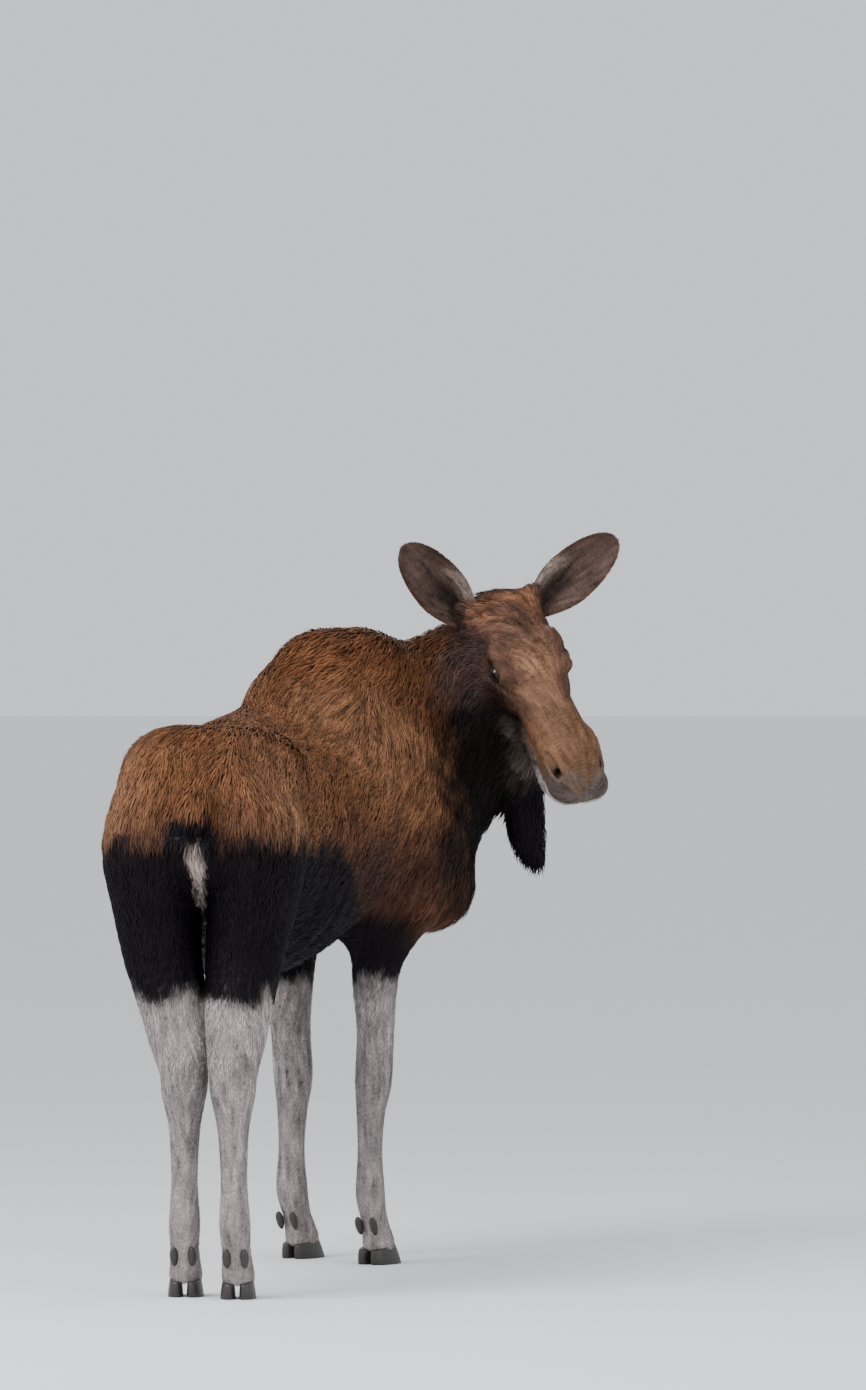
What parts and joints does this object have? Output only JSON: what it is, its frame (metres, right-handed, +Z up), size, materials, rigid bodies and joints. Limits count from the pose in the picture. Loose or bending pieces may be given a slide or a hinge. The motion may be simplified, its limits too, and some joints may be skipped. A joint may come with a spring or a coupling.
{
  "type": "moose",
  "caption": "Life-size standing cow moose with her spine bent and her neck turned to look back, a still model parted into body, legs, head, ears, eyes and hooves.",
  "frame": {"origin": "on the ground, under the middle of the model's box", "axes": "+Z up; the head end is toward -Y and the rump toward +Y; the animal's right side is toward -X"},
  "size_m": [1.2242, 1.9246, 2.0308],
  "materials": {
    "brown_coat": "coarse brown fur, lighter toward the tips",
    "dark_coat": "blackish brown fur",
    "pale_leg_coat": "short pale greyish fur",
    "horn": "dull black horn",
    "eye": "wet, very dark brown"
  },
  "bodies": {
    "root": {"barrel": "brown_coat", "bell": "dark_coat", "cannon_fore_left": "pale_leg_coat", "cannon_fore_right": "pale_leg_coat", "cannon_hind_left": "pale_leg_coat", "cannon_hind_right": "pale_leg_coat", "chest": "brown_coat", "dewclaw_fore_left_inner": "horn", "dewclaw_fore_left_outer": "horn", "dewclaw_fore_right_inner": "horn", "dewclaw_fore_right_outer": "horn", "dewclaw_hind_left_inner": "horn", "dewclaw_hind_left_outer": "horn", "dewclaw_hind_right_inner": "horn", "dewclaw_hind_right_outer": "horn", "ear_left": "brown_coat", "ear_right": "brown_coat", "eye_left": "eye", "eye_right": "eye", "foot_fore_left": "pale_leg_coat", "foot_fore_right": "pale_leg_coat", "foot_hind_left": "pale_leg_coat", "foot_hind_right": "pale_leg_coat", "forearm_fore_left": "dark_coat", "forearm_fore_right": "dark_coat", "hoof_fore_left_inner": "horn", "hoof_fore_left_outer": "horn", "hoof_fore_right_inner": "horn", "hoof_fore_right_outer": "horn", "hoof_hind_left_inner": "horn", "hoof_hind_left_outer": "horn", "hoof_hind_right_inner": "horn", "hoof_hind_right_outer": "horn", "lower_jaw": "dark_coat", "muzzle": "brown_coat", "neck_base": "brown_coat", "neck_top": "brown_coat", "rump": "brown_coat", "shank_hind_left": "pale_leg_coat", "shank_hind_right": "pale_leg_coat", "skull": "brown_coat", "tail": "dark_coat", "thigh_hind_left": "dark_coat", "thigh_hind_right": "dark_coat"}
  },
  "joints": []
}
